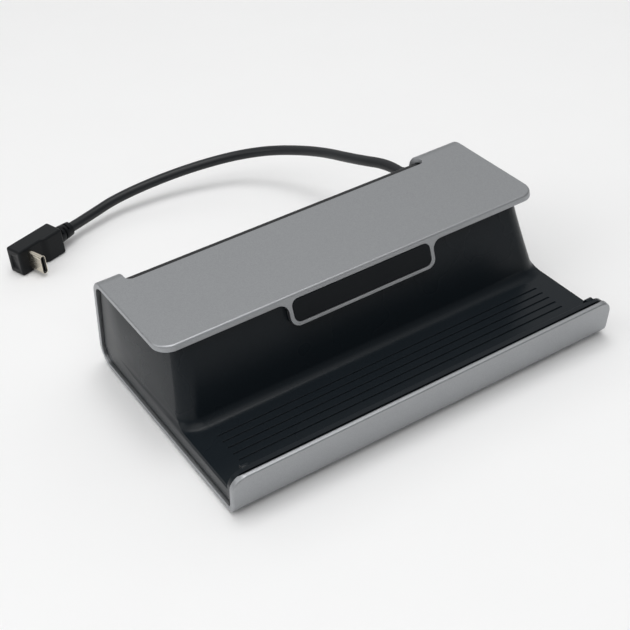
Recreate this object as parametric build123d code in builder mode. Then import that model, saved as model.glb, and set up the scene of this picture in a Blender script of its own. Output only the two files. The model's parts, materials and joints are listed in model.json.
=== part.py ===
from build123d import *
import math
import os

os.makedirs("parts", exist_ok=True)

# Overall size. X runs along the lip, Y from the lip to the back, Z up from the table.
width = 152.8
depth = 100.25
height = 41.5

# Wrapped metal shell
sheet = 2.2
foot_stand = 0.8
lip_height = 16.9
lip_lean = 9.5
back_lean = 12.5
nose_lean = 14.0
lip_bend = 4.5
heel_bend = 7.0
top_bend = 7.8
plate_reach = 51.07
plate_corner = 6.3
lip_corner = 5.5
edge_break = 0.4
lip_break = 0.65
tab_width = 59.0
tab_fall = 11.35
tab_corner = 3.5
notch_left_end = 9.2
notch_right_end = 19.1
notch_reach = 9.27
notch_bottom = 13.5
notch_corner = 2.6

# Bonding film between the base and the moulding
film = 0.2
film_end = 10.4
film_lead = 11.125
film_tail = 12.125

# Rubber pad in the tab
pad_width = 56.0
pad_fall = 1.85
pad_tall = 8.2
pad_corner = 2.5
pad_sink = 0.8
pad_proud = 0.1
pad_gap = 0.15

# Black moulding
end_gap = 1.0
lip_end_gap = 0.6
tray_top = 9.84
inner_lip_top = 17.3
inner_lip = 1.9
lip_fit = 0.2
wall_gap = 0.3
top_gap = 0.3
rear_round = 2.0
rear_gap_high = 2.3
rear_gap_low = 0.8
wall = 2.4
wall_foot_bend = 4.5
front_corner = 7.0
scoop_tail = 15.425
scoop_long = 46.0
scoop_spring = 11.5
scoop_low = 1.0
scoop_high = 6.8
scoop_bend = 9.0
groove_lead = 9.92
groove_clear = 6.5
groove_pitch = 3.49
groove_end = 9.9
groove_width = 0.7
groove_sink = 0.45
shadow_gap = 0.4
shadow_inset = 1.2
stop_end = 6.9
stop_width = 2.6
stop_depth = 4.2
stop_crown = 2.6
stop_set = 0.85
stop_sink = 0.4
stop_round = 1.2
stop_top = 17.6
cavity_end = 4.9
front_skin = 1.0
sill_wall = 0.6
sill_top = 12.4
pocket_half = 19.0
pocket_pitch = 47.0
pocket_roof = 7.4
pocket_back = 2.0
pocket_rest = 76.25

# Port panel
panel = 2.0
panel_gap = 1.85
panel_end = 5.2
panel_fit = 0.3
panel_slack = 0.5
panel_tuck = 3.0
panel_round = 0.8

# Board and sockets
board_x = 122.0
board_deep = 46.3
board_tail = 9.125
board_low = 14.0
board = 1.6
board_post = 6.0
board_pin = 2.4
pin_fit = 0.15
pin_proud = 0.8
pin_x = 56.0
pin_lead = 4.5
pin_pitch = 21.5
port_tail = 5.925
port_fit = 0.3
shell_wall = 0.35
tongue_base = 3.0
tongue_back = 1.2
usb_a_x = (4.0, 22.0, 40.0)
usb_a_w = 13.1
usb_a_h = 5.7
usb_a_d = 14.0
usb_a_tongue_w = 10.9
usb_a_tongue_t = 1.9
usb_a_tongue_drop = 1.75
hdmi_x = -40.0
hdmi_w = 15.2
hdmi_h = 5.8
hdmi_d = 11.5
hdmi_slope = 2.0
hdmi_tongue_w = 11.0
hdmi_tongue_t = 1.5
jack_x = -18.0
jack_w = 15.9
jack_h = 13.4
jack_d = 18.0
jack_sill = 1.6
jack_mouth_w = 11.9
jack_mouth_h = 7.0
jack_latch_w = 6.4
jack_latch_h = 2.4
power_x = -58.0
power_w = 8.94
power_h = 3.26
power_d = 8.0
power_tongue_w = 6.7
power_tongue_t = 0.7

# Feet
foot_end = 20.4
foot_lead = 13.125
foot_tail = 19.125
foot_length = 20.0
foot_width = 7.0
foot_corner = 1.5

# Cable and plug
cable_d = 4.2
gland_right = 22.3
gland_fall = 8.7
gland_tail = 5.525
gland_d = 5.8
gland_tip_d = 5.0
gland_collar_d = 7.4
plug_x = -81.98
plug_y = 127.82
plug_turn = 18.4
plug_long = 22.0
plug_deep = 8.1
plug_tall = 11.4
plug_round = 1.4
plug_bevel = 0.6
relief_v = 4.1
relief_z = 5.7
relief_root_d = 7.4
relief_tip_d = 6.0
relief_end = 29.6
shoulder_start = 12.0
shoulder_peak = 13.5
shoulder_high = 9.2
plug_mark_w = 3.2
plug_mark_h = 5.5
plug_mark_sink = 0.3
usb_c_tall = 8.34
usb_c_wide = 2.56
usb_c_u = 5.5
usb_c_reach = 7.6
usb_c_wall = 0.25
liner_slot_w = 0.9
liner_slot_h = 6.6

# Derived lines of the wrapped shell
under = foot_stand
seat = under + sheet
bed = seat + film
lip_tan = math.tan(math.radians(lip_lean))
lip_cos = math.cos(math.radians(lip_lean))
lip_sin = math.sin(math.radians(lip_lean))
back_tan = math.tan(math.radians(back_lean))
back_cos = math.cos(math.radians(back_lean))
back_sin = math.sin(math.radians(back_lean))
nose_tan = math.tan(math.radians(nose_lean))
nose_cos = math.cos(math.radians(nose_lean))
nose_sin = math.sin(math.radians(nose_lean))
half_width = width / 2
rear = depth / 2
lip_y = -depth / 2
lip_foot = lip_y + (lip_height - under) * lip_tan
heel_cy = rear - heel_bend
heel_cz = under + heel_bend
heel_y = heel_cy + heel_bend * (1 + back_sin) / back_cos
back_y = heel_y - (height - under) * back_tan
nose_y = back_y - plate_reach
notch_y = back_y - notch_reach
plate_under = height - sheet
tab_bottom = height - tab_fall
pad_high = height - pad_fall
pad_low = pad_high - pad_tall
notch_left = notch_left_end - half_width
notch_right = half_width - notch_right_end
film_half = half_width - film_end
film_front = lip_y + film_lead
film_rear = rear - film_tail
cradle_top = plate_under - top_gap
end_x = half_width - end_gap
scoop_rear = rear - scoop_tail
scoop_front = scoop_rear - scoop_long
groove_first = scoop_front - groove_lead
groove_length = width - 2 * groove_end
stop_x = half_width - stop_end
cavity_half = half_width - cavity_end
pocket_deep = depth - pocket_rest
panel_half = half_width - panel_end
panel_top = plate_under - panel_slack
board_back = rear - board_tail
board_front = board_back - board_deep
pin_front = board_front + pin_lead
pin_back = pin_front + pin_pitch
port_face = rear - port_tail
foot_x = half_width - foot_end
foot_front = lip_y + foot_lead
foot_rear = rear - foot_tail
gland_x = half_width - gland_right
gland_z = height - gland_fall
gland_end = rear - gland_tail
panel_front = notch_y - panel_tuck
flange_low = panel_top - panel - panel_fit
far_y = rear + 19.875
far_x = half_width + 10


def back_in(z):
    """Inner face of the metal back wall at height z."""
    return heel_y - (z - under) * back_tan - sheet / back_cos


def panel_out(z):
    """Outer face of the port panel at height z."""
    return back_in(z) - panel_gap / back_cos


def panel_in(z):
    """Inner face of the port panel at height z."""
    return panel_out(z) - panel / back_cos


def lip_in(z):
    """Inner face of the metal lip at height z."""
    return lip_foot - (z - under) * lip_tan + sheet / lip_cos


def wall_y(z):
    """Front face of the cradle's leaning wall at height z."""
    return nose_y - (height - z) * nose_tan + (sheet + wall_gap) / nose_cos


def wall_x(z, y):
    """Outer face of the scooped side wall at height z and depth y."""
    rise = (z - scoop_spring) / (cradle_top - scoop_spring)
    inset = scoop_low + (scoop_high - scoop_low) * rise
    return end_x - inset * (scoop_rear - y) / (scoop_rear - scoop_front)


sill_in = panel_in(sill_top) - sill_wall
groove_room = groove_first - lip_in(tray_top) - lip_fit - inner_lip - groove_clear
groove_count = int(groove_room / groove_pitch) + 1
nose = Plane(origin=(0, nose_y, height), x_dir=(1, 0, 0), z_dir=(0, -nose_cos, nose_sin))
pins = [(-pin_x, pin_front), (pin_x, pin_front), (-pin_x, pin_back), (pin_x, pin_back)]
feet = {
    "foot_front_left": (-foot_x, foot_front),
    "foot_front_right": (foot_x, foot_front),
    "foot_rear_left": (-foot_x, foot_rear),
    "foot_rear_right": (foot_x, foot_rear),
}

# Metal shell: one profile with three bends, then the notch, the tab and the edges
with BuildPart() as metal_shell:
    with BuildSketch(Plane.YZ):
        with BuildLine():
            outer = FilletPolyline(
                (lip_y, lip_height),
                (lip_foot, under),
                (heel_y, under),
                (back_y, height),
                (nose_y - 6, height),
                radius=[lip_bend, heel_bend, top_bend],
            )
            lip_rim_y = lip_y + sheet * lip_cos
            lip_rim_z = lip_height + sheet * lip_sin
            inner = FilletPolyline(
                (lip_rim_y + lip_break * lip_sin, lip_rim_z - lip_break * lip_cos),
                (lip_in(seat), seat),
                (back_in(seat), seat),
                (back_in(plate_under), plate_under),
                (nose_y - 6, plate_under),
                radius=[lip_bend - sheet, heel_bend - sheet, top_bend - sheet],
            )
            lip_crown = (lip_rim_y - lip_break * lip_cos, lip_rim_z - lip_break * lip_sin)
            Polyline(outer @ 0, lip_crown, inner @ 0)
            Line(outer @ 1, inner @ 1)
        make_face()
    extrude(amount=width / 2, both=True)
    with BuildSketch(Plane.YZ):
        Polygon(
            (nose_y + nose_tan, height + 1),
            (nose_y - (sheet + 1) * nose_tan, plate_under - 1),
            (nose_y - 12, plate_under - 1),
            (nose_y - 12, height + 1),
            align=None,
        )
    extrude(amount=width, both=True, mode=Mode.SUBTRACT)
    tab_drop = (height - tab_bottom) / nose_cos
    with BuildSketch(nose):
        with Locations((0, -0.6)):
            Rectangle(tab_width, tab_drop - 0.6, align=(Align.CENTER, Align.MAX))
    extrude(amount=-sheet)
    tab_sides = metal_shell.edges().filter_by(
        lambda e: abs(abs(e.center().X) - tab_width / 2) < 0.01 and e.length < sheet * 1.2
    )
    fillet(tab_sides, tab_corner)
    plan_corners = metal_shell.edges().filter_by(
        lambda e: abs(abs(e.center().X) - width / 2) < 0.01
        and abs(e.center().Y - nose_y) < 2
        and e.length < sheet * 1.2
    )
    fillet(plan_corners, plate_corner)
    with BuildSketch(Plane((0, lip_y, lip_height), x_dir=(1, 0, 0), z_dir=(0, -lip_cos, -lip_sin))):
        with Locations((0, -lip_corner)):
            Rectangle(width + 2, lip_corner + 1, align=(Align.CENTER, Align.MIN))
            SlotOverall(width, 2 * lip_corner, mode=Mode.SUBTRACT)
    extrude(amount=sheet + 1, both=True, mode=Mode.SUBTRACT)
    outer_rim = metal_shell.edges().filter_by(
        lambda e: abs(e.center().Z - height) < 0.01 and abs(e.center().Y - nose_y) < 0.01
    )
    chamfer(outer_rim, edge_break)
    with BuildSketch(Plane.XY.offset(height + 1)):
        with Locations((notch_left, notch_y)):
            cut = Rectangle(notch_right - notch_left, 30, align=(Align.MIN, Align.MIN))
        fillet(cut.vertices().group_by(Axis.Y)[0], notch_corner)
    extrude(amount=-9, mode=Mode.SUBTRACT)
    with BuildSketch(Plane.XZ.offset(-(notch_y + 3))):
        with Locations((notch_left, notch_bottom)):
            cut = Rectangle(notch_right - notch_left, height - 4 - notch_bottom, align=(Align.MIN, Align.MIN))
        fillet(cut.vertices().group_by(Axis.Z)[0], notch_corner)
    extrude(amount=-30, mode=Mode.SUBTRACT)
    with BuildSketch(nose):
        with Locations((0, -(height - (pad_low + pad_high) / 2) / nose_cos)):
            RectangleRounded(pad_width, (pad_high - pad_low) / nose_cos, pad_corner)
    extrude(amount=-pad_sink, mode=Mode.SUBTRACT)
metal_shell.part.label = "metal_shell"
export_step(metal_shell.part, "parts/metal_shell.step")

# Rubber pad framed by the tab
with BuildPart() as tab_pad:
    with BuildSketch(nose.offset(-pad_sink)):
        with Locations((0, -(height - (pad_low + pad_high) / 2) / nose_cos)):
            RectangleRounded(
                pad_width - 2 * pad_gap,
                (pad_high - pad_low) / nose_cos - 2 * pad_gap,
                pad_corner - pad_gap,
            )
    extrude(amount=pad_sink + pad_proud)
tab_pad.part.label = "tab_pad"
export_step(tab_pad.part, "parts/tab_pad.step")

# Tool form: the block behind the console, with drafted scooped sides and round front corners
with BuildPart() as block_form:
    low, high = tray_top - 6, cradle_top + 6
    with BuildSketch(Plane.YZ):
        Polygon((wall_y(low), low), (wall_y(high), high), (far_y, high), (far_y, low), align=None)
    extrude(amount=far_x, both=True)
    for level in (low, high):
        with BuildSketch(Plane.XY.offset(level)):
            Polygon(
                (-wall_x(level, lip_y), lip_y),
                (wall_x(level, lip_y), lip_y),
                (wall_x(level, far_y), far_y),
                (-wall_x(level, far_y), far_y),
                align=None,
            )
    loft(ruled=True, mode=Mode.INTERSECT)
    corners = block_form.edges().filter_by(
        lambda e: e.center().Y < 0 and abs(e.center().X) > 40 and abs((e @ 0).Z - (e @ 1).Z) > 20
    )
    fillet(corners, front_corner)

# Tool form: the room for the console above the tray, rounded at the foot of the block
with BuildPart() as console_room:
    with BuildSketch(Plane.XY.offset(tray_top)):
        with Locations((0, lip_y - 10)):
            Rectangle(2 * far_x, far_y - 8 - lip_y, align=(Align.CENTER, Align.MIN))
    extrude(amount=cradle_top + 3 - tray_top)
    add(block_form.part, mode=Mode.SUBTRACT)
    foot_line = console_room.edges().filter_by(
        lambda e: abs(e.center().Z - tray_top) < 0.01
        and abs(e.center().X) < far_x - 6
        and lip_y < e.center().Y < far_y - 19
    )
    fillet(foot_line, wall_foot_bend)

# Tool form: the scoop along each end, from the lip to the flush rear of the side wall
with BuildPart() as side_scoops:
    for station in (scoop_front, far_y - 4):
        with BuildSketch(Plane.XZ.offset(-station)):
            with BuildLine():
                low = (wall_x(scoop_spring, station) - 0.04, scoop_spring)
                high = (wall_x(cradle_top + 3, station) - 0.04, cradle_top + 3)
                Line(high, low)
                bend = JernArc(low, (low[0] - high[0], low[1] - high[1]), scoop_bend, 70)
                Line(bend @ 1, (far_x, (bend @ 1).Y))
                Line((far_x, (bend @ 1).Y), (far_x, high[1]))
                Line((far_x, high[1]), high)
            make_face()
    loft(ruled=True)
    front_face = side_scoops.faces().sort_by(Axis.Y)[0]
    extrude(front_face, amount=45, dir=(0, -1, 0))
    mirror(about=Plane.YZ)

# Tool form: the hollow of the block, one wall inside its faces and open to the back
with BuildPart() as cavity_form:
    for level in (bed + wall, cradle_top - wall):
        front = wall_y(level) + wall / nose_cos
        with BuildSketch(Plane.XY.offset(level)):
            Polygon(
                (-wall_x(level, front) + wall + front_skin, front),
                (wall_x(level, front) - wall - front_skin, front),
                (cavity_half, sill_in),
                (-cavity_half, sill_in),
                align=None,
            )
    loft(ruled=True)
    with BuildSketch(Plane.YZ):
        Polygon(
            (lip_y, bed),
            (lip_y, cradle_top),
            (sill_in, cradle_top),
            (sill_in, bed + wall + 4),
            (heel_cy + 0.6, bed + wall),
            (heel_cy + 0.6, bed),
            align=None,
        )
    extrude(amount=width, both=True, mode=Mode.INTERSECT)

# Cradle: tray, inner lip and hollow block in one moulding
with BuildPart() as cradle:
    with BuildSketch(Plane.YZ):
        with BuildLine():
            start = (lip_in(6) + lip_fit, 6)
            lines = Polyline(
                (heel_cy - 2, bed),
                (lip_in(bed) + 3.4, bed),
                start,
                (lip_in(tray_top) + lip_fit, tray_top),
                (wall_y(tray_top) - 6, tray_top),
                (wall_y(tray_top) - 6, cradle_top),
                (back_in(cradle_top) - rear_gap_high, cradle_top),
                (back_in(sill_top + 1) - rear_gap_low, sill_top + 1),
            )
            heel = CenterArc((heel_cy, heel_cz), heel_cz - bed, -90, 90 + back_lean)
            Line(heel @ 1, lines @ 1)
            Line(heel @ 0, lines @ 0)
        make_face()
    extrude(amount=end_x, both=True)
    rear_rim = cradle.edges().filter_by(
        lambda e: abs(e.center().Z - cradle_top) < 0.01
        and abs(e.center().Y - back_in(cradle_top) + rear_gap_high) < 0.01
    )
    fillet(rear_rim, rear_round)
    add(console_room.part, mode=Mode.SUBTRACT)
    add(side_scoops.part, mode=Mode.SUBTRACT)
    with BuildSketch(Plane.YZ):
        Polygon(
            (lip_in(5) + lip_fit + 0.4, 5),
            (lip_in(inner_lip_top) + lip_fit, inner_lip_top),
            (lip_in(inner_lip_top) + lip_fit + inner_lip, inner_lip_top),
            (lip_in(5) + lip_fit + inner_lip + 0.4, 5),
            align=None,
        )
    extrude(amount=half_width - lip_end_gap, both=True)
    lip_ends = cradle.edges().filter_by(
        lambda e: abs(abs(e.center().X) - half_width + lip_end_gap) < 0.01
        and abs(e.center().Z - inner_lip_top) < 0.1
    )
    fillet(lip_ends, lip_corner)
    stop_y = lip_in(inner_lip_top) + lip_fit + stop_set
    stop_foot = lip_in(tray_top - 1) + lip_fit + stop_sink
    for side in (-stop_x, stop_x):
        with BuildSketch(Plane.YZ.offset(side)):
            stop = Polygon(
                (stop_foot, tray_top - 1),
                (stop_y, stop_top),
                (stop_y + stop_crown, stop_top),
                (stop_y + stop_depth, tray_top - 1),
                align=None,
            )
            fillet(stop.vertices().group_by(Axis.Z)[-1], stop_round)
        extrude(amount=stop_width / 2, both=True)
    add(cavity_form.part, mode=Mode.SUBTRACT)
    with BuildSketch(Plane.YZ):
        Polygon(
            (panel_in(sill_top) - panel_fit, sill_top),
            (panel_in(flange_low) - panel_fit, flange_low),
            (panel_front - panel_fit, flange_low),
            (panel_front - panel_fit, cradle_top + 1),
            (far_y, cradle_top + 1),
            (far_y, sill_top),
            align=None,
        )
    extrude(amount=panel_half + panel_fit, both=True, mode=Mode.SUBTRACT)
    with BuildSketch(Plane.XY.offset(bed)):
        with Locations(*[(pocket_pitch * i, wall_y(tray_top) - pocket_back) for i in (-1, 0, 1)]):
            Rectangle(2 * pocket_half, pocket_deep, align=(Align.CENTER, Align.MAX))
    extrude(amount=pocket_roof - bed, mode=Mode.SUBTRACT)
    for side, top in ((board_post, board_low), (board_pin, board_low + board + pin_proud)):
        with BuildSketch(Plane.XY.offset(bed + wall - 0.2)):
            with Locations(*pins):
                Rectangle(side, side)
        extrude(amount=top - bed - wall + 0.2)
    with BuildSketch(Plane.XY.offset(tray_top)):
        with Locations(*[(0, groove_first - groove_pitch * i) for i in range(groove_count)]):
            Rectangle(groove_length, groove_width)
    extrude(amount=-groove_sink, mode=Mode.SUBTRACT)
    with BuildSketch(Plane.XY.offset(bed)):
        with Locations((-end_x, 0), (end_x, 0)):
            Rectangle(2 * shadow_inset, 3 * depth)
    extrude(amount=shadow_gap, mode=Mode.SUBTRACT)
cradle.part.label = "cradle"
export_step(cradle.part, "parts/cradle.step")

# Film that bonds the cradle to the base
with BuildPart() as cradle_film:
    with BuildSketch(Plane.XY.offset(seat)):
        with Locations((0, film_front)):
            Rectangle(2 * film_half, film_rear - film_front, align=(Align.CENTER, Align.MIN))
    extrude(amount=film)
cradle_film.part.label = "cradle_film"
export_step(cradle_film.part, "parts/cradle_film.step")

# Port panel: upright wall with a flange that tucks under the top plate
board_top = board_low + board
with BuildPart() as port_panel:
    with BuildSketch(Plane.YZ):
        Polygon(
            (panel_out(sill_top), sill_top),
            (panel_out(panel_top), panel_top),
            (panel_front, panel_top),
            (panel_front, panel_top - panel),
            (panel_in(panel_top - panel), panel_top - panel),
            (panel_in(sill_top), sill_top),
            align=None,
        )
    extrude(amount=panel_half, both=True)
    top_edge = port_panel.edges().filter_by(Axis.X).sort_by(Axis.Z).group_by(Axis.Z)[-1].sort_by(Axis.Y)[-1]
    fillet(top_edge, panel_round)
    with BuildSketch(Plane.XZ.offset(-far_y)):
        for x in usb_a_x:
            with Locations((x, board_top + usb_a_h / 2)):
                Rectangle(usb_a_w + 2 * port_fit, usb_a_h + 2 * port_fit)
        with Locations((hdmi_x, board_top + hdmi_h / 2)):
            Rectangle(hdmi_w + 2 * port_fit, hdmi_h + 2 * port_fit)
        with Locations((jack_x, board_top + jack_h / 2)):
            Rectangle(jack_w + 2 * port_fit, jack_h + 2 * port_fit)
        with Locations((power_x, board_top + power_h / 2)):
            RectangleRounded(power_w + 2 * port_fit, power_h + 2 * port_fit, power_h / 2)
        with Locations((gland_x, gland_z)):
            Circle(gland_d / 2 + 0.05)
    extrude(amount=far_y, mode=Mode.SUBTRACT)
port_panel.part.label = "port_panel"
export_step(port_panel.part, "parts/port_panel.step")

# Board staked on four square pins
with BuildPart() as main_board:
    with BuildSketch(Plane.XY.offset(board_low)):
        with Locations((0, board_front)):
            Rectangle(board_x, board_back - board_front, align=(Align.CENTER, Align.MIN))
        with Locations(*pins):
            Rectangle(board_pin + 2 * pin_fit, board_pin + 2 * pin_fit, mode=Mode.SUBTRACT)
    extrude(amount=board)
main_board.part.label = "main_board"
export_step(main_board.part, "parts/main_board.step")

# USB-A sockets: folded steel shell, and the moulded tongue that closes its back
for number, x in enumerate(usb_a_x, 1):
    mouth = Plane.XZ.offset(-port_face)
    with BuildPart() as usb_a_shell:
        with BuildSketch(mouth):
            with Locations((x, board_top + usb_a_h / 2)):
                Rectangle(usb_a_w, usb_a_h)
                Rectangle(usb_a_w - 2 * shell_wall, usb_a_h - 2 * shell_wall, mode=Mode.SUBTRACT)
        extrude(amount=usb_a_d)
    usb_a_shell.part.label = f"usb_a_shell_{number}"
    export_step(usb_a_shell.part, f"parts/usb_a_shell_{number}.step")
    with BuildPart() as usb_a_tongue:
        with BuildSketch(mouth.offset(usb_a_d)):
            with Locations((x, board_top + usb_a_h / 2)):
                Rectangle(usb_a_w - 2 * shell_wall, usb_a_h - 2 * shell_wall)
        extrude(amount=-tongue_base)
        with BuildSketch(mouth.offset(usb_a_d)):
            with Locations((x, board_top + usb_a_h - usb_a_tongue_drop)):
                Rectangle(usb_a_tongue_w, usb_a_tongue_t)
        extrude(amount=-(usb_a_d - tongue_back))
    usb_a_tongue.part.label = f"usb_a_tongue_{number}"
    export_step(usb_a_tongue.part, f"parts/usb_a_tongue_{number}.step")

# Video socket with its sloped lower corners
with BuildPart() as hdmi_shell:
    with BuildSketch(Plane.XZ.offset(-port_face)):
        for inset, how in ((0, Mode.ADD), (shell_wall, Mode.SUBTRACT)):
            half = hdmi_w / 2 - inset
            Polygon(
                (hdmi_x - half, board_top + hdmi_h - inset),
                (hdmi_x + half, board_top + hdmi_h - inset),
                (hdmi_x + half, board_top + hdmi_slope),
                (hdmi_x + half - hdmi_slope + inset, board_top + inset),
                (hdmi_x - half + hdmi_slope - inset, board_top + inset),
                (hdmi_x - half, board_top + hdmi_slope),
                align=None,
                mode=how,
            )
    extrude(amount=hdmi_d)
hdmi_shell.part.label = "hdmi_shell"
export_step(hdmi_shell.part, "parts/hdmi_shell.step")

with BuildPart() as hdmi_tongue:
    with BuildSketch(Plane.XZ.offset(-port_face + hdmi_d)):
        half = hdmi_w / 2 - shell_wall
        Polygon(
            (hdmi_x - half, board_top + hdmi_h - shell_wall),
            (hdmi_x + half, board_top + hdmi_h - shell_wall),
            (hdmi_x + half, board_top + hdmi_slope),
            (hdmi_x + half - hdmi_slope + shell_wall, board_top + shell_wall),
            (hdmi_x - half + hdmi_slope - shell_wall, board_top + shell_wall),
            (hdmi_x - half, board_top + hdmi_slope),
            align=None,
        )
    extrude(amount=-tongue_base)
    with BuildSketch(Plane.XZ.offset(-port_face + hdmi_d)):
        with Locations((hdmi_x, board_top + hdmi_h * 0.55)):
            Rectangle(hdmi_tongue_w, hdmi_tongue_t)
    extrude(amount=-(hdmi_d - tongue_back))
hdmi_tongue.part.label = "hdmi_tongue"
export_step(hdmi_tongue.part, "parts/hdmi_tongue.step")

# Network jack: moulded block with the plug's mouth and its latch slot
with BuildPart() as ethernet_jack:
    with BuildSketch(Plane.XZ.offset(-port_face)):
        with Locations((jack_x, board_top + jack_h / 2)):
            Rectangle(jack_w, jack_h)
    extrude(amount=jack_d)
    with BuildSketch(Plane.XZ.offset(-port_face)):
        with Locations((jack_x, board_top + jack_sill)):
            Rectangle(jack_mouth_w, jack_mouth_h, align=(Align.CENTER, Align.MIN))
            Rectangle(jack_latch_w, jack_mouth_h + jack_latch_h, align=(Align.CENTER, Align.MIN))
    extrude(amount=jack_d - wall, mode=Mode.SUBTRACT)
ethernet_jack.part.label = "ethernet_jack"
export_step(ethernet_jack.part, "parts/ethernet_jack.step")

# Power inlet
with BuildPart() as power_shell:
    with BuildSketch(Plane.XZ.offset(-port_face)):
        with Locations((power_x, board_top + power_h / 2)):
            RectangleRounded(power_w, power_h, power_h / 2 - 0.1)
            RectangleRounded(
                power_w - 2 * shell_wall,
                power_h - 2 * shell_wall,
                power_h / 2 - 0.1 - shell_wall,
                mode=Mode.SUBTRACT,
            )
    extrude(amount=power_d)
power_shell.part.label = "power_shell"
export_step(power_shell.part, "parts/power_shell.step")

with BuildPart() as power_tongue:
    with BuildSketch(Plane.XZ.offset(-port_face + power_d)):
        with Locations((power_x, board_top + power_h / 2)):
            RectangleRounded(
                power_w - 2 * shell_wall,
                power_h - 2 * shell_wall,
                power_h / 2 - 0.1 - shell_wall,
            )
    extrude(amount=-tongue_base / 2)
    with BuildSketch(Plane.XZ.offset(-port_face + power_d)):
        with Locations((power_x, board_top + power_h / 2)):
            Rectangle(power_tongue_w, power_tongue_t)
    extrude(amount=-(power_d - tongue_back))
power_tongue.part.label = "power_tongue"
export_step(power_tongue.part, "parts/power_tongue.step")

# The three main chips on the board
chips = {
    "hub_chip": (22.0, 19.3, 10.0, 1.0),
    "video_chip": (-36.0, 21.3, 12.0, 1.2),
    "network_chip": (-14.0, 15.3, 8.0, 0.9),
}
for name, (x, lead, side, tall) in chips.items():
    with BuildPart() as chip:
        with BuildSketch(Plane.XY.offset(board_top)):
            with Locations((x, board_front + lead)):
                Rectangle(side, side)
        extrude(amount=tall)
    chip.part.label = name
    export_step(chip.part, f"parts/{name}.step")

# Rubber feet stuck to the base
for name, (x, y) in feet.items():
    with BuildPart() as foot:
        with BuildSketch():
            with Locations((x, y)):
                pad = Rectangle(foot_length, foot_width)
            chamfer(pad.vertices(), foot_corner)
        extrude(amount=under)
    foot.part.label = name
    export_step(foot.part, f"parts/{name}.step")

# Rubber bush where the cable leaves the panel
with BuildPart() as cable_gland:
    with BuildSketch(Plane.XZ.offset(-gland_end)):
        with Locations((gland_x, gland_z)):
            Circle(gland_tip_d / 2)
    with BuildSketch(Plane.XZ.offset(-panel_out(gland_z - gland_d / 2))):
        with Locations((gland_x, gland_z)):
            Circle(gland_d / 2)
    loft()
    with BuildSketch(Plane.XZ.offset(-panel_out(gland_z - gland_d / 2))):
        with Locations((gland_x, gland_z)):
            Circle(gland_d / 2)
    extrude(amount=7)
    with BuildSketch(Plane.XZ.offset(-panel_in(gland_z + gland_collar_d / 2))):
        with Locations((gland_x, gland_z)):
            Circle(gland_collar_d / 2)
    extrude(amount=2)
cable_gland.part.label = "cable_gland"
export_step(cable_gland.part, "parts/cable_gland.step")

# Plug: right-angle overmould lying on the table
turn = math.radians(plug_turn)
along = (math.cos(turn), math.sin(turn), 0)
plug_at = Plane(origin=(plug_x, plug_y, 0), x_dir=along, z_dir=(0, 0, 1))


def plug_point(u, v, z):
    """Point on the plug: u toward the cable, v toward the metal shell."""
    return plug_at.from_local_coords(Vector(u, -v, z))


def plug_end(u, v, z):
    """Plane across the plug's cable axis."""
    return Plane(origin=plug_point(u, v, z), x_dir=(along[1], -along[0], 0), z_dir=along)


with BuildPart() as plug_body:
    with BuildSketch(plug_at):
        Polygon(
            (0, 0),
            (plug_long, 0),
            (plug_long, -shoulder_high),
            (shoulder_peak, -shoulder_high),
            (shoulder_start, -plug_deep),
            (0, -plug_deep),
            align=None,
        )
    extrude(amount=plug_tall)
    fillet(plug_body.edges().filter_by(Axis.Z), plug_round)
    rims = plug_body.edges().group_by(Axis.Z)
    chamfer(rims[0] + rims[-1], plug_bevel)
    with BuildSketch(plug_end(0, plug_deep / 2, plug_tall / 2)):
        RectangleRounded(plug_mark_w, plug_mark_h, 1)
    extrude(amount=plug_mark_sink, mode=Mode.SUBTRACT)
    with BuildSketch(plug_end(plug_long, relief_v, relief_z)):
        Circle(relief_root_d / 2)
    with BuildSketch(plug_end(relief_end, relief_v, relief_z)):
        Circle(relief_tip_d / 2)
    loft()
plug_body.part.label = "plug_body"
export_step(plug_body.part, "parts/plug_body.step")

usb_c_face = Plane(
    origin=plug_point(usb_c_u, plug_deep, plug_tall / 2),
    x_dir=along,
    z_dir=(along[1], -along[0], 0),
)
with BuildPart() as plug_shell:
    with BuildSketch(usb_c_face):
        RectangleRounded(usb_c_wide, usb_c_tall, usb_c_wide / 2 - 0.02)
        RectangleRounded(
            usb_c_wide - 2 * usb_c_wall,
            usb_c_tall - 2 * usb_c_wall,
            usb_c_wide / 2 - 0.02 - usb_c_wall,
            mode=Mode.SUBTRACT,
        )
    extrude(amount=usb_c_reach)
plug_shell.part.label = "plug_shell"
export_step(plug_shell.part, "parts/plug_shell.step")

with BuildPart() as plug_liner:
    with BuildSketch(usb_c_face):
        RectangleRounded(
            usb_c_wide - 2 * usb_c_wall,
            usb_c_tall - 2 * usb_c_wall,
            usb_c_wide / 2 - 0.02 - usb_c_wall,
        )
    extrude(amount=usb_c_reach - 0.3)
    with BuildSketch(usb_c_face.offset(1)):
        Rectangle(liner_slot_w, liner_slot_h)
    extrude(amount=usb_c_reach, mode=Mode.SUBTRACT)
plug_liner.part.label = "plug_liner"
export_step(plug_liner.part, "parts/plug_liner.step")

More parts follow.
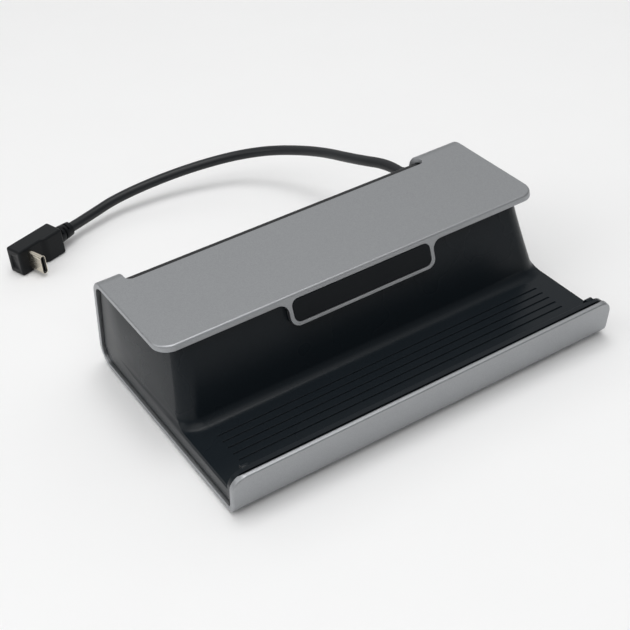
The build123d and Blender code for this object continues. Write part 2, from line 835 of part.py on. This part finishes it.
# Cable: straight runs and tangent arcs from the bush to the plug's strain relief
plug_mouth = plug_point(relief_end, relief_v, relief_z)
plug_lead = plug_point(relief_end + 10, relief_v, relief_z)
route = [
    (gland_x, gland_end, gland_z),
    (gland_x, gland_end + 8.6, gland_z),
    (49.9, 68.9, 29.3),
    (47.4, 99.2, 21.4),
    (33.4, 125.8, 14.6),
    (5.6, 137.9, 10.6),
    (-25.7, 140.8, 7.4),
    (plug_lead.X, plug_lead.Y, plug_lead.Z),
    (plug_mouth.X, plug_mouth.Y, plug_mouth.Z),
]
radii = []
for before, here, after in zip(route, route[1:], route[2:]):
    run_in = Vector(*here) - Vector(*before)
    run_out = Vector(*after) - Vector(*here)
    half_turn = math.radians(run_in.get_angle(run_out)) / 2
    radii.append(0.45 * min(run_in.length, run_out.length) / math.tan(half_turn))
print("cable bend radii", [round(r, 1) for r in radii])
with BuildPart() as cable:
    with BuildLine() as path:
        FilletPolyline(*route, radius=radii)
    with BuildSketch(Plane(origin=path.line @ 0, z_dir=path.line % 0)):
        Circle(cable_d / 2)
    sweep()
cable.part.label = "cable"
export_step(cable.part, "parts/cable.step")
cable_length = sum(edge.length for edge in path.edges())
print("cable length", round(cable_length, 2), "volume", round(cable.part.volume, 1))
print("section times length", round(math.pi * cable_d**2 / 4 * cable_length, 1))
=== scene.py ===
# %% [markdown]
# The dock is a desk stand for a handheld game console. A strip of aluminium wraps round a black
# moulding, and a short cable with a right-angle plug comes out at the back. The solids come from the
# CAD frame; this lesson gives them soft edges, finishes, light and the photograph's camera.

# %% Load the frame
import bpy
import json
import math
from mathutils import Matrix, Vector


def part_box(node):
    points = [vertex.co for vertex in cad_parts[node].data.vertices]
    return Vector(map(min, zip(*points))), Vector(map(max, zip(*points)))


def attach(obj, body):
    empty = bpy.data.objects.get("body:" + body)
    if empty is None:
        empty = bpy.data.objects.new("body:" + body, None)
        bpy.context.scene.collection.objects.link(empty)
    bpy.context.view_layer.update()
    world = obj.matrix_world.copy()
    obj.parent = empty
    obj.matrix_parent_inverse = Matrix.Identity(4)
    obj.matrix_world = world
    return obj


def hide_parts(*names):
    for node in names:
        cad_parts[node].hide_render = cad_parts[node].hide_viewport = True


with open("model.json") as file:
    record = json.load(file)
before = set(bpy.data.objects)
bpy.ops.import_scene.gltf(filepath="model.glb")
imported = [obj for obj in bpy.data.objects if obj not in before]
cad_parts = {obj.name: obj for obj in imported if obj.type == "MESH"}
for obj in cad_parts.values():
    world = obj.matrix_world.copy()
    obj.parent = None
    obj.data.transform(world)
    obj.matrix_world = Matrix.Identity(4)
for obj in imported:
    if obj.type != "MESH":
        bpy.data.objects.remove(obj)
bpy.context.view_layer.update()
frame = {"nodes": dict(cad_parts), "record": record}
nodes = frame["nodes"]
scene = bpy.context.scene
scene.view_settings.view_transform = "Standard"
MM = 0.001

# %% [markdown]
# The camera comes first, because the photograph decides it. Its place and its three directions were
# worked out from straight edges of known length on the dock. A camera could also be aimed with a
# Track To constraint, but a plain matrix keeps the slight roll that the picture has.

# %% Camera
FRAME_PIXELS = 630
FOCAL_PIXELS = 1278.1
SENSOR_MM = 36.0
NEAR_CLIP_M = 0.01
camera_at = Vector((-0.18723, -0.309255, 0.28627))
camera_right = Vector((0.84327, -0.53257, -0.07264))
camera_down = Vector((-0.36901, -0.47536, -0.79866))
camera_ahead = Vector((0.39081, 0.70029, -0.59738))
lens = bpy.data.cameras.new("photo_lens")
lens.sensor_fit = "HORIZONTAL"
lens.sensor_width = SENSOR_MM
lens.lens = FOCAL_PIXELS * SENSOR_MM / FRAME_PIXELS
lens.clip_start = NEAR_CLIP_M
camera = bpy.data.objects.new("photo_camera", lens)
turned = Matrix((camera_right, -camera_down, -camera_ahead)).transposed()
camera.matrix_world = Matrix.Translation(camera_at) @ turned.to_4x4()
scene.collection.objects.link(camera)
scene.camera = camera
print("lens", round(lens.lens, 2), "mm")

# %% [markdown]
# Colours are written as sRGB hex values, as a colour picker shows them, and a shader's sockets want
# linear light, so one function turns one into the other. A second small function adds a shader node
# with its settings, values and links in one call, which keeps the materials readable.

# %% Colour and node helpers


def linear(hex_code):
    """Linear RGBA of an sRGB hex colour."""
    parts = [int(hex_code[i:i + 2], 16) / 255 for i in (1, 3, 5)]
    light = [p / 12.92 if p <= 0.04045 else ((p + 0.055) / 1.055) ** 2.4 for p in parts]
    return (*light, 1.0)


def add_node(tree, kind, values=None, links=None, **settings):
    """A new node with its settings, socket values and incoming links."""
    node = tree.nodes.new(kind)
    for name, value in settings.items():
        setattr(node, name, value)
    for name, value in (values or {}).items():
        node.inputs[name].default_value = value
    for name, socket in (links or {}).items():
        tree.links.new(socket, node.inputs[name])
    return node


print("mid grey is", round(linear("#808080")[0], 3), "in linear light")

# %% [markdown]
# Every finish on the dock has a fine grain, whether it was blasted, moulded or painted. A picture of
# such a grain would need a file and an unwrapped mesh. Noise on Object coordinates needs neither, and
# its size is given in millimetres. The same noise tints the colour and raises the surface, and a much
# wider one, like the cloudy traces of handling, varies the gloss.

# %% One function for grained finishes
GRAIN_DETAIL = 3.0
CLOUD_MM = 22.0
CLOUD_DETAIL = 2.0
GLOSS_SPREAD = 0.06
# A Mix node repeats its socket names for every data type, so its colour sockets go by number
MIX_FACTOR, MIX_FIRST, MIX_SECOND, MIX_RESULT = 0, 6, 7, 2


def grained(name, dark, pale, grain_mm, rough, bump_mm, metal=0.0, specular=0.5):
    """A finish with a fine grain in colour and height and a wide one in gloss."""
    material = bpy.data.materials.new(name)
    material.use_nodes = True
    tree = material.node_tree
    tree.nodes.clear()
    place = add_node(tree, "ShaderNodeTexCoord").outputs["Object"]
    grain = add_node(
        tree, "ShaderNodeTexNoise",
        {"Scale": 1 / (grain_mm * MM), "Detail": GRAIN_DETAIL}, {"Vector": place},
    ).outputs["Fac"]
    cloud = add_node(
        tree, "ShaderNodeTexNoise",
        {"Scale": 1 / (CLOUD_MM * MM), "Detail": CLOUD_DETAIL}, {"Vector": place},
    ).outputs["Fac"]
    tint = add_node(
        tree, "ShaderNodeMix", {MIX_FIRST: linear(dark), MIX_SECOND: linear(pale)},
        {MIX_FACTOR: grain}, data_type="RGBA",
    ).outputs[MIX_RESULT]
    gloss = add_node(
        tree, "ShaderNodeMapRange",
        {"To Min": rough - GLOSS_SPREAD, "To Max": rough + GLOSS_SPREAD}, {"Value": cloud},
    ).outputs["Result"]
    relief = add_node(
        tree, "ShaderNodeBump", {"Strength": 1.0, "Distance": bump_mm * MM}, {"Height": grain},
    ).outputs["Normal"]
    shader = add_node(
        tree, "ShaderNodeBsdfPrincipled", {"Metallic": metal, "Specular IOR Level": specular},
        {"Base Color": tint, "Roughness": gloss, "Normal": relief},
    )
    add_node(tree, "ShaderNodeOutputMaterial", None, {"Surface": shader.outputs["BSDF"]})
    return material


print("grain and cloud ready, cloud", CLOUD_MM, "mm wide")

# %% [markdown]
# The shell is aluminium strip, bead-blasted and then anodised grey. Blasting leaves dimples of about
# a tenth of a millimetre. The picture shows two to three pixels to the millimetre, so the grain is
# drawn at 0.35 mm, as coarse as it needs to be to show at all. The plug's shell, the sockets and their
# contacts are plated, which is smoother and brighter.

# %% Metals
# An even satin grey that mirrors the pale wall behind the dock without a sharp picture of it
anodised_aluminium = grained(
    "anodised_aluminium", "#95979a", "#b0b2b4", grain_mm=0.35, rough=0.44, bump_mm=0.006, metal=1.0
)
# Warm and bright, the one shiny spot on the plug
nickel_plate = grained(
    "nickel_plate", "#c9c2b2", "#d8d2c4", grain_mm=0.5, rough=0.26, bump_mm=0.002, metal=1.0
)
# Cool and bright, a thin frame round each socket's dark mouth
socket_steel = grained(
    "tinned_steel", "#b4b5b3", "#c2c3c1", grain_mm=0.5, rough=0.3, bump_mm=0.002, metal=1.0
)
# Small yellow glints deep in the sockets
contact_gold = grained(
    "gold_flash", "#c99a3c", "#d6aa52", grain_mm=0.4, rough=0.28, bump_mm=0.001, metal=1.0
)
print("metals", [m.name for m in (anodised_aluminium, nickel_plate, socket_steel, contact_gold)])

# %% [markdown]
# The black parts are injection moulded. The tool's walls are spark-eroded, which prints a fine matt
# grain on the plastic, so it looks black from the front and greys only at a shallow angle. Rubber and
# the cable's sheath are softer and a little duller. Real grain of some hundredths of a millimetre would
# not show, so it is drawn at 0.3 mm or more.

# %% Plastics and rubbers
# Near black with a blue cast, and a soft sheen where the wall turns into the tray
black_abs = grained(
    "black_abs", "#13181c", "#1b2126", grain_mm=0.4, rough=0.28, bump_mm=0.012, specular=0.15
)
# The same plastic from a rougher tool, so the back looks a little flatter
panel_abs = grained(
    "panel_abs", "#0e0f11", "#17191b", grain_mm=0.4, rough=0.44, bump_mm=0.012, specular=0.4
)
# The darkest patch in the picture, without a highlight
pad_silicone = grained(
    "pad_silicone", "#0d1013", "#14181c", grain_mm=0.3, rough=0.4, bump_mm=0.006, specular=0.15
)
# Dull and slightly dusty
foot_rubber = grained("foot_rubber", "#1b1b1b", "#262626", grain_mm=0.5, rough=0.7, bump_mm=0.02)
# A soft grey band along the top of the cable
cable_sheath = grained(
    "cable_sheath", "#15171a", "#1d2023", grain_mm=0.4, rough=0.4, bump_mm=0.008, specular=0.34
)
# Darker than the cable, with soft light along its rounds
plug_tpe = grained(
    "plug_tpe", "#0f1113", "#171a1d", grain_mm=0.4, rough=0.4, bump_mm=0.012, specular=0.17
)
# Black tongues that let the contacts stand out
socket_nylon = grained("socket_nylon", "#0c0c0d", "#151516", grain_mm=0.4, rough=0.42, bump_mm=0.006)
print("black parts", [m.name for m in (black_abs, panel_abs, pad_silicone, cable_sheath, plug_tpe)])

# %% [markdown]
# The board, its chips and the bonding film lie inside the dock. No view shows them, but an exploded
# one would, so they get their usual colours. Then each solid takes the finish of the slot that its
# record names. They could be set by hand one by one, but a table forgets none.

# %% Inner parts and slots
# Flat black blocks on the board
chip_epoxy = grained("chip_epoxy", "#141414", "#1d1d1d", grain_mm=0.3, rough=0.6, bump_mm=0.01)
# Deep green with a wet look
solder_mask = grained("solder_mask", "#0d3a22", "#14492c", grain_mm=1.2, rough=0.38, bump_mm=0.01)
# Charcoal, with no gloss at all
foam_tape = grained("foam_tape", "#2a2a2a", "#363636", grain_mm=0.6, rough=0.8, bump_mm=0.02)
slot_finish = {
    "shell_metal": anodised_aluminium, "black_moulding": black_abs, "panel_moulding": panel_abs,
    "pad_rubber": pad_silicone, "foot_rubber": foot_rubber, "board": solder_mask,
    "socket_steel": socket_steel, "socket_moulding": socket_nylon, "chip": chip_epoxy,
    "bond_film": foam_tape, "cable_rubber": cable_sheath, "plug_moulding": plug_tpe,
    "plug_nickel": nickel_plate,
}
for part in frame["record"]["subparts"]:
    solid = nodes[part["node"]]
    solid.data.materials.clear()
    solid.data.materials.append(slot_finish[part["material_slot"]])
print("finishes on", len(nodes), "solids")

# %% [markdown]
# CAD edges are knife sharp, and no real edge is: light catches on a small round. The solids that the
# picture shows from close by are copied, their loose triangles merged into flat faces, and every
# crease gets a bevel of a fraction of a millimetre. A shader could fake this, but then the exported
# mesh would still be sharp.

# %% Soft edges on the large solids
SMOOTH_DEGREES = 38
FLAT_FACE_WEIGHT = 80
MERGE_MM = 0.002
FLAT_DEGREES = 0.3


def only(piece):
    """Select one object and nothing else."""
    bpy.ops.object.select_all(action="DESELECT")
    piece.select_set(True)
    bpy.context.view_layer.objects.active = piece


def round_edges(piece, round_mm, segments, crease_degrees, clamp=True):
    """Round the creases of a piece, with smooth shading that leaves its flat faces flat."""
    only(piece)
    edge = piece.modifiers.new("soft_edge", "BEVEL")
    edge.width = round_mm * MM
    edge.segments = segments
    edge.limit_method = "ANGLE"
    edge.angle_limit = math.radians(crease_degrees)
    edge.use_clamp_overlap = clamp
    bpy.ops.object.modifier_apply(modifier=edge.name)
    bpy.ops.object.shade_smooth_by_angle(angle=math.radians(SMOOTH_DEGREES))
    weigh = piece.modifiers.new("even_light", "WEIGHTED_NORMAL")
    weigh.weight = FLAT_FACE_WEIGHT
    weigh.keep_sharp = True
    bpy.ops.object.modifier_apply(modifier=weigh.name)


def soften(node_name, piece_name, round_mm):
    """A copy of a solid with merged faces and rounded creases, which stands for the solid."""
    piece = bpy.data.objects.new(piece_name, nodes[node_name].data.copy())
    scene.collection.objects.link(piece)
    only(piece)
    bpy.ops.mesh.customdata_custom_splitnormals_clear()
    bpy.ops.object.mode_set(mode="EDIT")
    bpy.ops.mesh.select_all(action="SELECT")
    bpy.ops.mesh.remove_doubles(threshold=MERGE_MM * MM)
    bpy.ops.mesh.dissolve_limited(angle_limit=math.radians(FLAT_DEGREES))
    bpy.ops.object.mode_set(mode="OBJECT")
    round_edges(piece, round_mm, segments=2, crease_degrees=32, clamp=False)
    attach(piece, "root")
    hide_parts(node_name)
    print(piece_name, len(piece.data.polygons), "faces")


soften("metal_shell", "shell_wrap", round_mm=0.18)
soften("cradle", "cradle_block", round_mm=0.1)
soften("port_panel", "port_wall", round_mm=0.2)
soften("tab_pad", "tab_rubber", round_mm=0.2)

# %% [markdown]
# The plug and the contacts are shaped in edit mode. By hand, faces would be clicked and a cut drawn
# across the piece. In a script a face is known by its centre and the way it looks, so one helper picks
# faces by a test on those two, and another cuts a piece square across an axis.

# %% Picking and cutting
FACING = 0.9


def pick(piece, wanted):
    """Edit mode with only the wanted faces selected; wanted takes a centre in mm and a normal."""
    only(piece)
    bpy.ops.object.mode_set(mode="EDIT")
    bpy.ops.mesh.select_mode(type="FACE")
    bpy.ops.mesh.select_all(action="DESELECT")
    bpy.ops.object.mode_set(mode="OBJECT")
    for face in piece.data.polygons:
        face.select = bool(wanted(face.center / MM, face.normal))
    bpy.ops.object.mode_set(mode="EDIT")


def slice_at(piece, axis, places):
    """Cut a piece across one axis at the given places in mm, with nothing removed."""
    only(piece)
    bpy.ops.object.mode_set(mode="EDIT")
    for place in places:
        bpy.ops.mesh.select_all(action="SELECT")
        cut = [place * MM if i == axis else 0 for i in range(3)]
        bpy.ops.mesh.bisect(plane_co=cut, plane_no=[1 if i == axis else 0 for i in range(3)])
    bpy.ops.object.mode_set(mode="OBJECT")


print("faces are picked from", FACING, "of their normal")

# %% [markdown]
# The plug's overmould is squeezed round the USB-C shell and the cable in one shot. It is a rounded
# block with a shoulder on the side of the shell and a shallow bare panel in its end. It could be drawn
# as an outline and pulled up. Here a box is cut at the shoulder's ends, the shoulder is pulled out and
# the creases are rounded, which leaves fewer points to place. The box starts a hair inside the solid's
# end, because its rounds are smaller.

# %% Plug block
PLUG_LONG, PLUG_DEEP, PLUG_TALL = 22.0, 8.1, 11.4
PLUG_END = 0.15
PLUG_ROUND = 1.1
SHOULDER_START, SHOULDER_PEAK, SHOULDER_HIGH = 12.0, 13.5, 9.2
PANEL_INSET, PANEL_SQUEEZE, PANEL_SINK = 1.35, 0.85, 0.3
HAIR = 0.01
bpy.ops.object.select_all(action="DESELECT")
bpy.ops.mesh.primitive_cube_add(
    size=1, location=((PLUG_LONG + PLUG_END) / 2 * MM, -PLUG_DEEP / 2 * MM, PLUG_TALL / 2 * MM)
)
plug_overmould = bpy.context.object
plug_overmould.name = "plug_overmould"
plug_overmould.scale = ((PLUG_LONG - PLUG_END) * MM, PLUG_DEEP * MM, PLUG_TALL * MM)
bpy.ops.object.transform_apply(location=True, rotation=True, scale=True)
slice_at(plug_overmould, 0, [SHOULDER_START, SHOULDER_PEAK])
pick(plug_overmould, lambda c, n: n.y < -FACING and c.x > SHOULDER_PEAK)
bpy.ops.transform.translate(value=(0, (PLUG_DEEP - SHOULDER_HIGH) * MM, 0))
bpy.ops.object.mode_set(mode="OBJECT")
round_edges(plug_overmould, PLUG_ROUND, segments=4, crease_degrees=25)
pick(plug_overmould, lambda c, n: n.x < -FACING and c.x < PLUG_END + HAIR)
bpy.ops.mesh.inset(thickness=PANEL_INSET * MM)
bpy.ops.transform.resize(
    value=(1, 1, PANEL_SQUEEZE), center_override=(0, -PLUG_DEEP / 2 * MM, PLUG_TALL / 2 * MM)
)
bpy.ops.mesh.extrude_region_move(TRANSFORM_OT_translate={"value": (PANEL_SINK * MM, 0, 0)})
bpy.ops.object.mode_set(mode="OBJECT")
print("plug block", len(plug_overmould.data.polygons), "faces")

# %% [markdown]
# The strain relief is the tapered sleeve of the same shot, and slots in its sides let it bend with the
# cable. The rings between the slots could be modelled one by one. Here a cone is sliced at each slot's
# edges and the faces between are sunk, because that leaves the sleeve in one mesh.

# %% Strain relief
RELIEF_START, RELIEF_END = PLUG_LONG - 1.2, 29.6
RELIEF_WIDE, RELIEF_NARROW, RELIEF_SIDES = 3.75, 3.0, 48
RELIEF_V, RELIEF_Z = 4.1, 5.7
SLOT_SINK = 0.9
RELIEF_ROUND = 0.12
# From and to along the plug in mm, then the middle and the half width of the slot's arc in degrees
relief_slots = [(23.3, 24.0, 30, 35), (25.1, 25.9, 75, 55), (27.0, 27.7, 20, 40)]


def in_slot(centre, normal, start, stop, middle, reach):
    """Whether a face of the sleeve lies in a slot or in its twin on the other side."""
    around = math.degrees(math.atan2(-(centre.y + RELIEF_V), centre.z - RELIEF_Z))
    away = abs((around - middle + 90) % 180 - 90)
    return start < centre.x < stop and abs(normal.x) < 0.5 and away < reach


bpy.ops.object.select_all(action="DESELECT")
bpy.ops.mesh.primitive_cone_add(
    vertices=RELIEF_SIDES, radius1=RELIEF_WIDE * MM, radius2=RELIEF_NARROW * MM,
    depth=(RELIEF_END - RELIEF_START) * MM, rotation=(0, math.pi / 2, 0),
    location=((RELIEF_END + RELIEF_START) / 2 * MM, -RELIEF_V * MM, RELIEF_Z * MM),
)
plug_relief = bpy.context.object
bpy.ops.object.transform_apply(location=True, rotation=True, scale=True)
slice_at(plug_relief, 0, [edge for slot in relief_slots for edge in slot[:2]])
for slot in relief_slots:
    pick(plug_relief, lambda c, n: in_slot(c, n, *slot))
    bpy.ops.mesh.extrude_region_shrink_fatten(TRANSFORM_OT_shrink_fatten={"value": -SLOT_SINK * MM})
    bpy.ops.object.mode_set(mode="OBJECT")
round_edges(plug_relief, RELIEF_ROUND, segments=2, crease_degrees=50)
print("strain relief", len(plug_relief.data.polygons), "faces")

# %% [markdown]
# The plug lies on the table behind the dock, turned a little toward it. Block and sleeve are one shot
# of rubber, so they are joined, and only then turned and moved as one. Two objects under a parent would
# look the same, but the real part is one. The place goes into the mesh, so that the grain stays put
# when the piece is exported.

# %% Plug in its place
PLUG_TURN_DEGREES = 18.4
PLUG_CORNER_X, PLUG_CORNER_Y = -81.98, 127.82
only(plug_overmould)
plug_relief.select_set(True)
bpy.ops.object.join()
plug_turn = Matrix.Rotation(math.radians(PLUG_TURN_DEGREES), 4, "Z")
plug_corner = Matrix.Translation((PLUG_CORNER_X * MM, PLUG_CORNER_Y * MM, 0))
plug_overmould.matrix_world = plug_corner @ plug_turn
bpy.ops.object.transform_apply(location=True, rotation=True, scale=True)
plug_overmould.data.materials.clear()
plug_overmould.data.materials.append(plug_tpe)
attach(plug_overmould, "root")
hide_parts("plug_body")
print("plug overmould", len(plug_overmould.data.polygons), "faces")

# %% [markdown]
# The sockets at the back are only tongues and shells in CAD. Real ones carry gilt contacts, stamped
# from thin sheet. One contact is a flat box with broken edges. It is modelled once for each socket and
# copied along its row. An array modifier would do that too, but only with even steps.

# %% Contact strips and rows


def strip(size, edge_mm):
    """A flat contact in mm round the origin, with broken edges."""
    bpy.ops.object.select_all(action="DESELECT")
    bpy.ops.mesh.primitive_cube_add(size=1, location=(0, 0, 0))
    contact = bpy.context.object
    contact.scale = [s * MM for s in size]
    bpy.ops.object.transform_apply(location=True, rotation=True, scale=True)
    bpy.ops.object.mode_set(mode="EDIT")
    bpy.ops.mesh.select_all(action="SELECT")
    bpy.ops.mesh.bevel(offset=edge_mm * MM, segments=1)
    bpy.ops.object.mode_set(mode="OBJECT")
    return contact


def row(master, places, name, finish):
    """Copies of one contact at places in mm, joined into one piece that rides with the dock."""
    copies = []
    for place in places:
        mesh = master.data.copy()
        mesh.transform(Matrix.Translation([c * MM for c in place]))
        copies.append(bpy.data.objects.new(name, mesh))
        scene.collection.objects.link(copies[-1])
    bpy.data.objects.remove(master)
    only(copies[0])
    for one in copies:
        one.select_set(True)
    bpy.ops.object.join()
    piece = copies[0]
    piece.name = name
    piece.data.materials.clear()
    piece.data.materials.append(finish)
    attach(piece, "root")
    print(name, len(places), "copies,", len(piece.data.polygons), "faces")


def even_steps(count, pitch):
    """Offsets of a row of contacts that is centred on its socket."""
    return [pitch * i - pitch * (count - 1) / 2 for i in range(count)]


def box_mm(node_name):
    """Low and high corner of a solid in mm, and the middle of its width."""
    low, high = (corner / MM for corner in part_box(node_name))
    return low, high, (low.x + high.x) / 2


print("first USB-A tongue starts at", [round(v, 2) for v in box_mm("usb_a_tongue_1")[0]], "mm")

# %% [markdown]
# Four strips lie under each USB-A tongue, the outer two wider apart because they carry the current and
# reach the plug first. The three sockets are alike, so all twelve strips are copies of one.

# %% USB-A contacts
USB_TONGUE_DROP, USB_TONGUE_THICK = 0.45, 1.9
USB_STRIP, USB_STRIP_EDGE = (1.0, 8.4, 0.2), 0.05
USB_STRIP_BACK = 4.8
USB_STRIP_STEPS = (-3.5, -1.0, 1.0, 3.5)
usb_places = []
for number in (1, 2, 3):
    low, high, middle = box_mm(f"usb_a_tongue_{number}")
    level = high.z - USB_TONGUE_DROP - USB_TONGUE_THICK - USB_STRIP[2] / 2
    usb_places += [(middle + step, high.y - USB_STRIP_BACK, level) for step in USB_STRIP_STEPS]
row(strip(USB_STRIP, USB_STRIP_EDGE), usb_places, "usb_contacts", contact_gold)

# %% [markdown]
# The video tongue has ten contacts on top and nine below, set between them, and the power tongue has
# twelve on each face. They are so fine that a striped material would do from afar, but as strips they
# also show in the exported mesh.

# %% Video and power contacts
VIDEO_LEVEL, VIDEO_FACE, VIDEO_BACK, VIDEO_PITCH = 18.79, 0.77, 3.4, 1.0
VIDEO_STRIP, VIDEO_STRIP_EDGE = (0.45, 6.0, 0.06), 0.018
VIDEO_ABOVE, VIDEO_BELOW = 10, 9
POWER_FACE, POWER_BACK, POWER_PITCH = 0.36, 2.0, 0.5
POWER_STRIP, POWER_STRIP_EDGE = (0.26, 3.2, 0.04), 0.012
POWER_COUNT = 12
low, high, middle = box_mm("hdmi_tongue")
video_places = []
for count, face in ((VIDEO_ABOVE, VIDEO_FACE), (VIDEO_BELOW, -VIDEO_FACE)):
    for step in even_steps(count, VIDEO_PITCH):
        video_places.append((middle + step, high.y - VIDEO_BACK, VIDEO_LEVEL + face))
row(strip(VIDEO_STRIP, VIDEO_STRIP_EDGE), video_places, "video_contacts", contact_gold)

low, high, middle = box_mm("power_tongue")
level = (low.z + high.z) / 2
power_places = []
for step in even_steps(POWER_COUNT, POWER_PITCH):
    for face in (-POWER_FACE, POWER_FACE):
        power_places.append((middle + step, high.y - POWER_BACK, level + face))
row(strip(POWER_STRIP, POWER_STRIP_EDGE), power_places, "power_contacts", contact_gold)

# %% [markdown]
# Two steel leaves in the floor of each USB-A socket press on the plug. They are cut from the socket's
# own sheet and pushed up in the middle. A bent curve would do; a strip that is cut twice and raised
# between the cuts has the flat crown of the real leaf.

# %% Springs of the USB-A sockets
LEAF, LEAF_EDGE = (1.9, 4.6, 0.2), 0.04
LEAF_CROWN, LEAF_RISE = 1.0, 0.25
LEAF_BACK, LEAF_LIFT = 3.2, 0.3
LEAF_STEPS = (-3.2, 3.2)
leaf = strip(LEAF, LEAF_EDGE)
slice_at(leaf, 1, [-LEAF_CROWN, LEAF_CROWN])
pick(leaf, lambda c, n: abs(c.y) < LEAF_CROWN - HAIR)
bpy.ops.transform.translate(value=(0, 0, LEAF_RISE * MM))
bpy.ops.object.mode_set(mode="OBJECT")
leaf_places = []
for number in (1, 2, 3):
    low, high, middle = box_mm(f"usb_a_tongue_{number}")
    leaf_places += [(middle + step, high.y - LEAF_BACK, low.z + LEAF_LIFT) for step in LEAF_STEPS]
row(leaf, leaf_places, "usb_springs", socket_steel)

# %% [markdown]
# The network jack's contacts are eight sprung wires that rise from the floor of its mouth, bend over
# and press on the plug. Each could be bent from a thin cylinder. A curve through five points with a
# round bevel is quicker, and once it is a mesh it can be copied like the strips.

# %% Wires of the network jack
JACK_SILL = 1.6
WIRE_COUNT, WIRE_PITCH, WIRE_RADIUS = 8, 1.02, 0.2
low, high, middle = box_mm("ethernet_jack")
# Depth in the frame and height above the floor of the mouth
wire_route = [(43.2, 0.3), (41.6, 0.35), (34.0, 3.6), (32.4, 3.4), (31.6, 2.4)]
wire_line = bpy.data.curves.new("network_wire", "CURVE")
wire_line.dimensions = "3D"
bend = wire_line.splines.new("POLY")
bend.points.add(len(wire_route) - 1)
for point, (y, rise) in zip(bend.points, wire_route):
    point.co = (0, y * MM, (low.z + JACK_SILL + rise) * MM, 1)
wire_line.bevel_depth = WIRE_RADIUS * MM
wire_line.bevel_resolution = 2
wire_line.use_fill_caps = True
wire = bpy.data.objects.new("network_wire", wire_line)
scene.collection.objects.link(wire)
only(wire)
bpy.ops.object.convert(target="MESH")
wire_places = [(middle + step, 0, 0) for step in even_steps(WIRE_COUNT, WIRE_PITCH)]
row(bpy.context.object, wire_places, "network_wires", contact_gold)

# %% [markdown]
# The cable is seen from end to end: it leaves a bush in the port panel, sinks to the table in one
# bow and ends in the plug's strain relief. A pipe swept along straight runs would show its corners. A
# NURBS curve on the CAD route's corner points is smooth by itself, and a round bevel gives it its
# thickness.

# %% Cable
CABLE_MM = 4.2
CABLE_STEPS, CABLE_ROUNDNESS = 24, 8
cable_route = [
    (54.1, 44.6, 32.8), (54.1, 53.2, 32.8), (49.9, 68.9, 29.3), (47.4, 99.2, 21.4), (33.4, 125.8, 14.6),
    (5.6, 137.9, 10.6), (-25.7, 140.8, 7.4), (-43.11, 136.429, 5.7), (-52.599, 133.273, 5.7),
]
line = bpy.data.curves.new("cable_flex", "CURVE")
line.dimensions = "3D"
spline = line.splines.new("NURBS")
spline.points.add(len(cable_route) - 1)
for point, place in zip(spline.points, cable_route):
    point.co = (*[c * MM for c in place], 1.0)
spline.order_u = 3
spline.use_endpoint_u = True
line.resolution_u = CABLE_STEPS
line.bevel_depth = CABLE_MM * MM / 2
line.bevel_resolution = CABLE_ROUNDNESS
line.use_fill_caps = True
line.materials.append(cable_sheath)
cable_flex = bpy.data.objects.new("cable_flex", line)
scene.collection.objects.link(cable_flex)
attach(cable_flex, "root")
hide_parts("cable")

# %% [markdown]
# The dock stands on a pale table with no visible edge. A curved backdrop would hide the edge as well,
# but a plane that runs on past every view is simpler and catches the same shadow.

# %% Table
TABLE_M = 40.0
bpy.ops.object.select_all(action="DESELECT")
bpy.ops.mesh.primitive_plane_add(size=TABLE_M, location=(0, 0, 0))
table = bpy.context.object
table.name = "table_top"
# Flat off-white paint, with clouds too faint to see
table_paint = grained("table_paint", "#f2f2f2", "#f4f4f4", grain_mm=40.0, rough=0.9, bump_mm=0.0)
table.data.materials.append(table_paint)
print("table", TABLE_M, "m wide")

# %% [markdown]
# Three soft boxes hang round the dock, overhead, on the left and in front, each weak and large, so the
# shadows stay faint. One strong lamp would be simpler, but its shadow would be too dark in front of the
# lip.

# %% Soft boxes
# Place and width in metres, then watts
soft_boxes = {
    "overhead_box": ((0.05, 0.1, 1.2), 0.6, 3.8),
    "left_box": ((-1.0, 0.1, 0.8), 0.8, 2.4),
    "front_box": ((-0.2, -0.7, 1.0), 0.8, 2.3),
}
for name, (place, width, watts) in soft_boxes.items():
    light = bpy.data.lights.new(name, "AREA")
    light.shape = "SQUARE"
    light.size = width
    light.energy = watts
    lamp = bpy.data.objects.new(name, light)
    lamp.location = place
    lamp.rotation_euler = (-Vector(place)).to_track_quat("-Z", "Y").to_euler()
    scene.collection.objects.link(lamp)
print("soft boxes", list(soft_boxes))

# %% [markdown]
# The room itself gives the rest. At the back a pale wall stands about thirty degrees high, which is what
# the top plate mirrors; in front the ceiling is bright and the wall dim, so the black walls of the dock
# have nothing pale to mirror. White cards on stands would do the same with more objects.

# %% Room
world = bpy.data.worlds.new("studio_room")
world.use_nodes = True
scene.world = world
room = world.node_tree
room.nodes.clear()
toward = add_node(room, "ShaderNodeTexCoord").outputs["Generated"]
split = add_node(room, "ShaderNodeSeparateXYZ", None, {"Vector": toward})


def climb(levels):
    """Grey levels up the room, evenly from the horizon to the zenith."""
    ramp = add_node(room, "ShaderNodeValToRGB", None, {"Fac": split.outputs["Z"]})
    stops = ramp.color_ramp.elements
    for i in range(1, len(levels) - 1):
        stops.new(i / (len(levels) - 1))
    for stop, level in zip(stops, levels):
        stop.color = (level, level, level, 1)
    return ramp.outputs["Color"]


ahead = add_node(room, "ShaderNodeMapRange", {"From Min": -1.0}, {"Value": split.outputs["Y"]})
front_wall = climb([0.5, 0.2, 0.05, 0.2, 2.5])
back_wall = climb([0.5, 0.2, 1.2, 0.4, 0.1])
walls = add_node(
    room, "ShaderNodeMix", None,
    {MIX_FACTOR: ahead.outputs["Result"], MIX_FIRST: front_wall, MIX_SECOND: back_wall}, data_type="RGBA",
)
glow = add_node(room, "ShaderNodeBackground", None, {"Color": walls.outputs[MIX_RESULT]})
add_node(room, "ShaderNodeOutputWorld", None, {"Surface": glow.outputs["Background"]})
print("room", len(room.nodes), "nodes")
